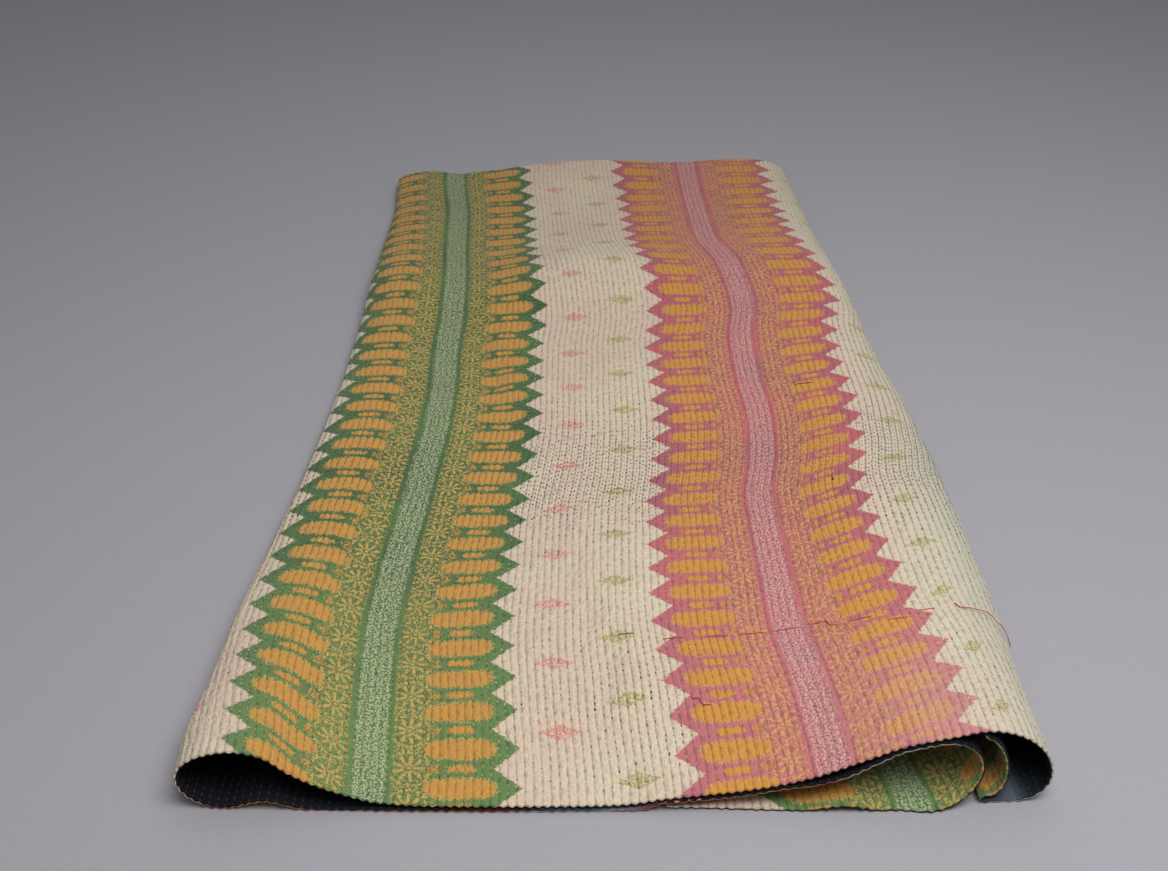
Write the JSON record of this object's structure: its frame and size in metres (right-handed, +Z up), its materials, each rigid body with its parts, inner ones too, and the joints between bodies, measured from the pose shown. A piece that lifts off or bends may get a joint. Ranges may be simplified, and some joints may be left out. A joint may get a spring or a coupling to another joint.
{
  "type": "folded quilt",
  "caption": "Stitched cotton quilt folded lengthwise into a long flat strip with soft open loops at both sides, for covering a bed or sofa.",
  "frame": {"origin": "on the surface the quilt lies on, under the middle of its box", "axes": "+Z up from the surface, +Y along the folds away from the end with the open hems, +X across the strip to the side with the curled free edges"},
  "size_m": [0.7058, 1.2666, 0.0748],
  "materials": {
    "printed_cotton": "matte"
  },
  "bodies": {
    "root": {"quilt": "printed_cotton"}
  },
  "joints": []
}
